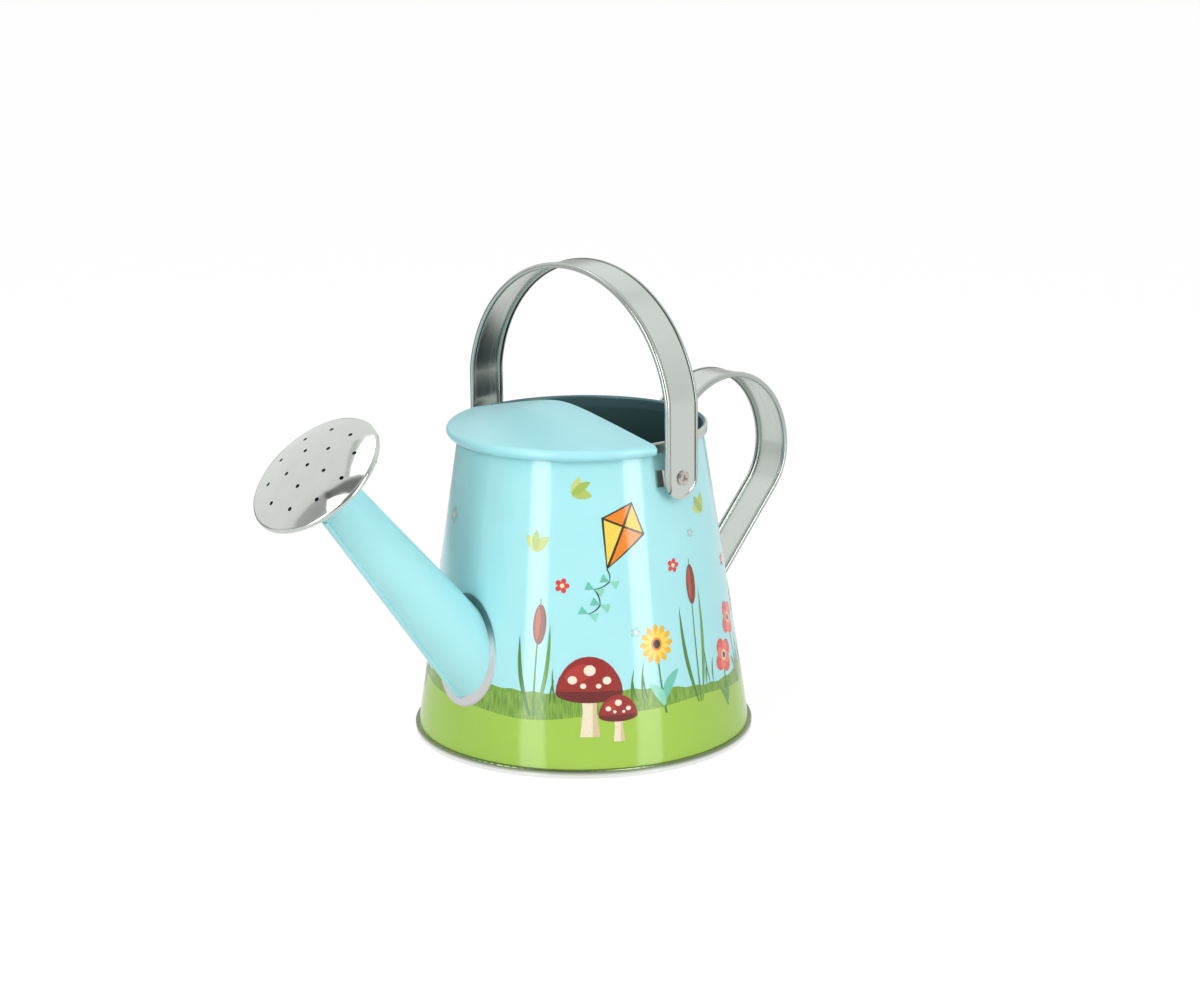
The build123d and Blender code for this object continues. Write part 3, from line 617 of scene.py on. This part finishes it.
# ---- Studio paper ----------------------------------------------------------------------------
# White paper under the can, plain and matt, that keeps its soft shadow. The metal mirrors it as
# nearly white, but for a low gap behind the can on the left, where the paper ends.
bpy.context.scene.view_settings.view_transform = "Standard"
floor_half = 4  # m
floor_mesh = bpy.data.meshes.new("floor")
square = [(x * floor_half, y * floor_half, 0) for x, y in ((-1, -1), (1, -1), (1, 1), (-1, 1))]
floor_mesh.from_pydata(square, [], [(0, 1, 2, 3)])
floor = bpy.data.objects.new("floor", floor_mesh)
bpy.context.scene.collection.objects.link(floor)
camera_azimuth = radians(45.965)  # round from the spout
gap_azimuth, gap_middle = -135, -0.03  # its middle, in degrees round and as a slope
gap_sides = (0.65, 0.85)  # cosines off its middle, where it starts and where it is full
gap_height = (0.10, 0.16)  # slopes off its middle, where it is full and where it ends
gap_depth = 0.7  # share of the paper's light that it lacks
eye_height = 70  # mm up the can, where directions to the paper are taken from
paper_glow = 0.85  # share of the paper's look that is plain white
paper_white = 1.09  # level at which the camera sees it as white


def heading(azimuth, elevation):
    """Direction from the can, its azimuth counted round from the camera's, in degrees."""
    turn, rise = camera_azimuth + radians(azimuth), radians(elevation)
    return Vector((cos(turn) * cos(rise), sin(turn) * cos(rise), sin(rise)))


def far_paper(tree, direction):
    """Level of the paper or the room in a reflection: 1, but lower in the gap."""
    side = {0: direction, 1: heading(gap_azimuth, 0)}
    side = node(tree, "ShaderNodeVectorMath", side, "Value", operation="DOT_PRODUCT")
    side = node(tree, "ShaderNodeMapRange", {0: side, 1: gap_sides[0], 2: gap_sides[1]})
    low = node(tree, "ShaderNodeSeparateXYZ", {0: direction}, 2)
    low = node(tree, "ShaderNodeMath", {0: low, 1: gap_middle}, operation="SUBTRACT")
    low = node(tree, "ShaderNodeMath", {0: low}, operation="ABSOLUTE")
    low = {0: low, 1: gap_height[0], 2: gap_height[1], 3: -gap_depth, 4: 0.0}
    low = node(tree, "ShaderNodeMapRange", low)
    return node(tree, "ShaderNodeMath", {0: side, 1: low, 2: 1.0}, operation="MULTIPLY_ADD")


paper, tree, _ = material("studio_paper", {"Base Color": linear("d0d0d0"), "Roughness": 0.9})
camera_ray = node(tree, "ShaderNodeLightPath", output="Is Camera Ray")
path = camera_ray.node.outputs
seen = camera_ray
for kind in ("Is Glossy Ray", "Is Transmission Ray"):
    seen = node(tree, "ShaderNodeMath", {0: seen, 1: path[kind]}, operation="MAXIMUM")
seen = node(tree, "ShaderNodeMath", {0: seen, 1: paper_glow}, operation="MULTIPLY")
place = node(tree, "ShaderNodeTexCoord", output="Object")
middle = {0: place, 1: (0, 0, eye_height * MM)}
direction = node(tree, "ShaderNodeVectorMath", middle, "Vector", operation="SUBTRACT")
direction = node(tree, "ShaderNodeVectorMath", {0: direction}, "Vector", operation="NORMALIZE")
strength = {0: camera_ray, 2: far_paper(tree, direction), 3: paper_white}
strength = node(tree, "ShaderNodeMix", strength)
white = node(tree, "ShaderNodeEmission", {"Color": (1, 1, 1, 1), "Strength": strength})
lit = tree.nodes["Principled BSDF"].outputs[0]
sheet = node(tree, "ShaderNodeMixShader", {0: seen, 1: lit, 2: white})
tree.links.new(sheet, tree.nodes["Material Output"].inputs["Surface"])
floor_mesh.materials.append(paper)

# ---- Camera ----------------------------------------------------------------------------------
# A long lens about a metre away, a little above the can, between its spout and its near side.
camera_elevation = 18.779  # degrees
camera_distance = 1.06222
camera_roll = radians(-0.494)
aim = Vector((-0.0050, 0.0049, 0.0873))
camera_data = bpy.data.cameras.new("camera")
camera_data.lens = 81.81
camera = bpy.data.objects.new("camera", camera_data)
camera.location = heading(0, camera_elevation) * camera_distance
look = (aim - camera.location).to_track_quat("-Z", "Y")
camera.rotation_mode = "QUATERNION"
camera.rotation_quaternion = look @ Euler((0, 0, camera_roll)).to_quaternion()
bpy.context.scene.collection.objects.link(camera)
bpy.context.scene.camera = camera

# ---- Room ------------------------------------------------------------------------------------
# White all round, with a light ceiling. The metal mirrors it darker in front, where the camera
# stands in the unlit half, and mirrors a few dark flags that stand round the can.
front_level = 0.3  # what is mirrored in front, the back being 1
horizon_light, ceiling_light = 0.35, 0.74  # what falls on the can from there
# Flags: azimuth, elevation, tilt, half length and half width in degrees, soft edge, level
flags = [
    (-88.7, 57, -92, 9, 4.3, 2.5, 0.28),
    (-88.4, 41, -87, 10, 5, 3, 0.6),
    (-125.8, 56.8, 20.8, 13, 1.2, 1.5, 0.7),
    (143, 45, 0, 5, 6, 3, 0.82),
    (-176, 8, 0, 11, 8, 3, 0.4),
]
world = bpy.data.worlds.new("white_room")
bpy.context.scene.world = world
world.use_nodes = True
tree = world.node_tree
direction = node(tree, "ShaderNodeTexCoord", output="Generated")
towards = {0: direction, 1: heading(0, 0)}
towards = node(tree, "ShaderNodeVectorMath", towards, "Value", operation="DOT_PRODUCT")
shown = {0: towards, 1: -0.2, 2: 0.7, 3: 1.0, 4: front_level}
shown = node(tree, "ShaderNodeMapRange", shown)
shown = {0: shown, 1: far_paper(tree, direction)}
shown = node(tree, "ShaderNodeMath", shown, operation="MULTIPLY")
for flag_azimuth, elevation, tilt, half_length, half_width, soft, level in flags:
    across = heading(flag_azimuth + 90, 0)
    upwards = across.cross(heading(flag_azimuth, elevation)) * -1
    turn = radians(tilt)
    axes = (across * cos(turn) + upwards * sin(turn), upwards * cos(turn) - across * sin(turn))
    covered = None
    for axis, half in zip(axes, (half_length, half_width)):
        off = {0: direction, 1: axis}
        off = node(tree, "ShaderNodeVectorMath", off, "Value", operation="DOT_PRODUCT")
        off = node(tree, "ShaderNodeMath", {0: off}, operation="ABSOLUTE")
        near, far = sin(radians(half - soft / 2)), sin(radians(half + soft / 2))
        edge = {0: off, 1: near, 2: far, 3: 1.0, 4: 0.0}
        edge = node(tree, "ShaderNodeMapRange", edge, interpolation_type="SMOOTHSTEP")
        both = {0: 1.0 if covered is None else covered, 1: edge}
        covered = node(tree, "ShaderNodeMath", both, operation="MULTIPLY")
    dimmed = {0: covered, 1: level - 1, 2: 1.0}
    dimmed = node(tree, "ShaderNodeMath", dimmed, operation="MULTIPLY_ADD")
    shown = node(tree, "ShaderNodeMath", {0: shown, 1: dimmed}, operation="MULTIPLY")
camera_ray = node(tree, "ShaderNodeLightPath", output="Is Camera Ray")
upwards = node(tree, "ShaderNodeSeparateXYZ", {0: direction}, 2)
falling = {0: upwards, 3: horizon_light, 4: ceiling_light}
falling = node(tree, "ShaderNodeMapRange", falling)
strength = {0: camera_ray.node.outputs["Is Glossy Ray"], 2: falling, 3: shown}
strength = node(tree, "ShaderNodeMix", strength)
strength = node(tree, "ShaderNodeMix", {0: camera_ray, 2: strength, 3: 1.0})
tree.links.new(strength, tree.nodes["Background"].inputs["Strength"])
tree.nodes["Background"].inputs["Color"].default_value = (1, 1, 1, 1)

# ---- Softboxes -------------------------------------------------------------------------------
# Two tall ones in front draw the upright bands on the varnish. A broad one high behind the can
# and a small one high on the left light the straps and shine in the rose.
left, right = -35, 45.5  # azimuths of the tall ones, in degrees


def softbox(name, azimuth, elevation, distance, width, height, radiance, tilt=0.0):
    """Soft light aimed at the can."""
    data = bpy.data.lights.new(name, "AREA")
    data.shape = "RECTANGLE"
    data.size, data.size_y = width, height
    data.energy = radiance * pi * width * height
    lamp = bpy.data.objects.new(name, data)
    lamp.location = distance * heading(azimuth, elevation)
    lamp.rotation_mode = "QUATERNION"
    straight = (aim - lamp.location).to_track_quat("-Z", "Y")
    lamp.rotation_quaternion = straight @ Euler((0, 0, radians(tilt))).to_quaternion()
    bpy.context.scene.collection.objects.link(lamp)


softbox("left_softbox", left, 22, 1.1, 0.32, 0.95, 5.1)
softbox("right_softbox", right, 22, 1.1, 0.32, 0.95, 4.9)
softbox("left_rear_softbox", -122.2, 67.2, 1.5, 0.68, 0.36, 1.8, 12.5)
softbox("left_side_softbox", -71.5, 52.6, 1.5, 0.24, 0.37, 2.0, -32)

# ---- Glints on the paper ---------------------------------------------------------------------
# Each tall softbox's glint along the paper, from its foot to the can where it narrows, is
# painted as a glowing patch. Only the varnish shows it, low on the wall, so the bands run down
# to the foot.
glint_light = 3.5
glint_near, glint_far = 5, 160  # mm, half its width at the can and a metre away
foot_reach = 68  # mm from the can's axis to the near end
glint_lift = 0.5  # mm over the paper
glint, tree, _ = material("glint_on_paper", {})
glow = node(tree, "ShaderNodeEmission", {"Color": (1, 1, 1, 1), "Strength": glint_light})
clear = node(tree, "ShaderNodeBsdfTransparent")
grazing = node(tree, "ShaderNodeLayerWeight", {"Blend": 0.5}, "Facing")
grazing = node(tree, "ShaderNodeMapRange", {0: grazing, 1: 0.78, 2: 0.93})
glossy_ray = node(tree, "ShaderNodeLightPath", output="Is Glossy Ray")
shone = node(tree, "ShaderNodeMath", {0: grazing, 1: glossy_ray}, operation="MULTIPLY")
shone = node(tree, "ShaderNodeMixShader", {0: shone, 1: clear, 2: glow})
tree.links.new(shone, tree.nodes["Material Output"].inputs["Surface"])
for name, lamp_azimuth, band_azimuth in (("left", left, -16.5), ("right", right, 21.5)):
    near, far = heading(band_azimuth, 0) * foot_reach * MM, heading(lamp_azimuth, 0)
    side = Vector((0, 0, 1)).cross((far - near).normalized()) * MM
    lift = Vector((0, 0, glint_lift * MM))
    ring = [near - side * glint_near, near + side * glint_near]
    ring += [far + side * glint_far, far - side * glint_far]
    glint_mesh = bpy.data.meshes.new(name + "_glint_on_paper")
    glint_mesh.from_pydata([corner + lift for corner in ring], [], [(0, 1, 2, 3)])
    glint_mesh.materials.append(glint)
    patch = bpy.data.objects.new(name + "_glint_on_paper", glint_mesh)
    bpy.context.scene.collection.objects.link(patch)
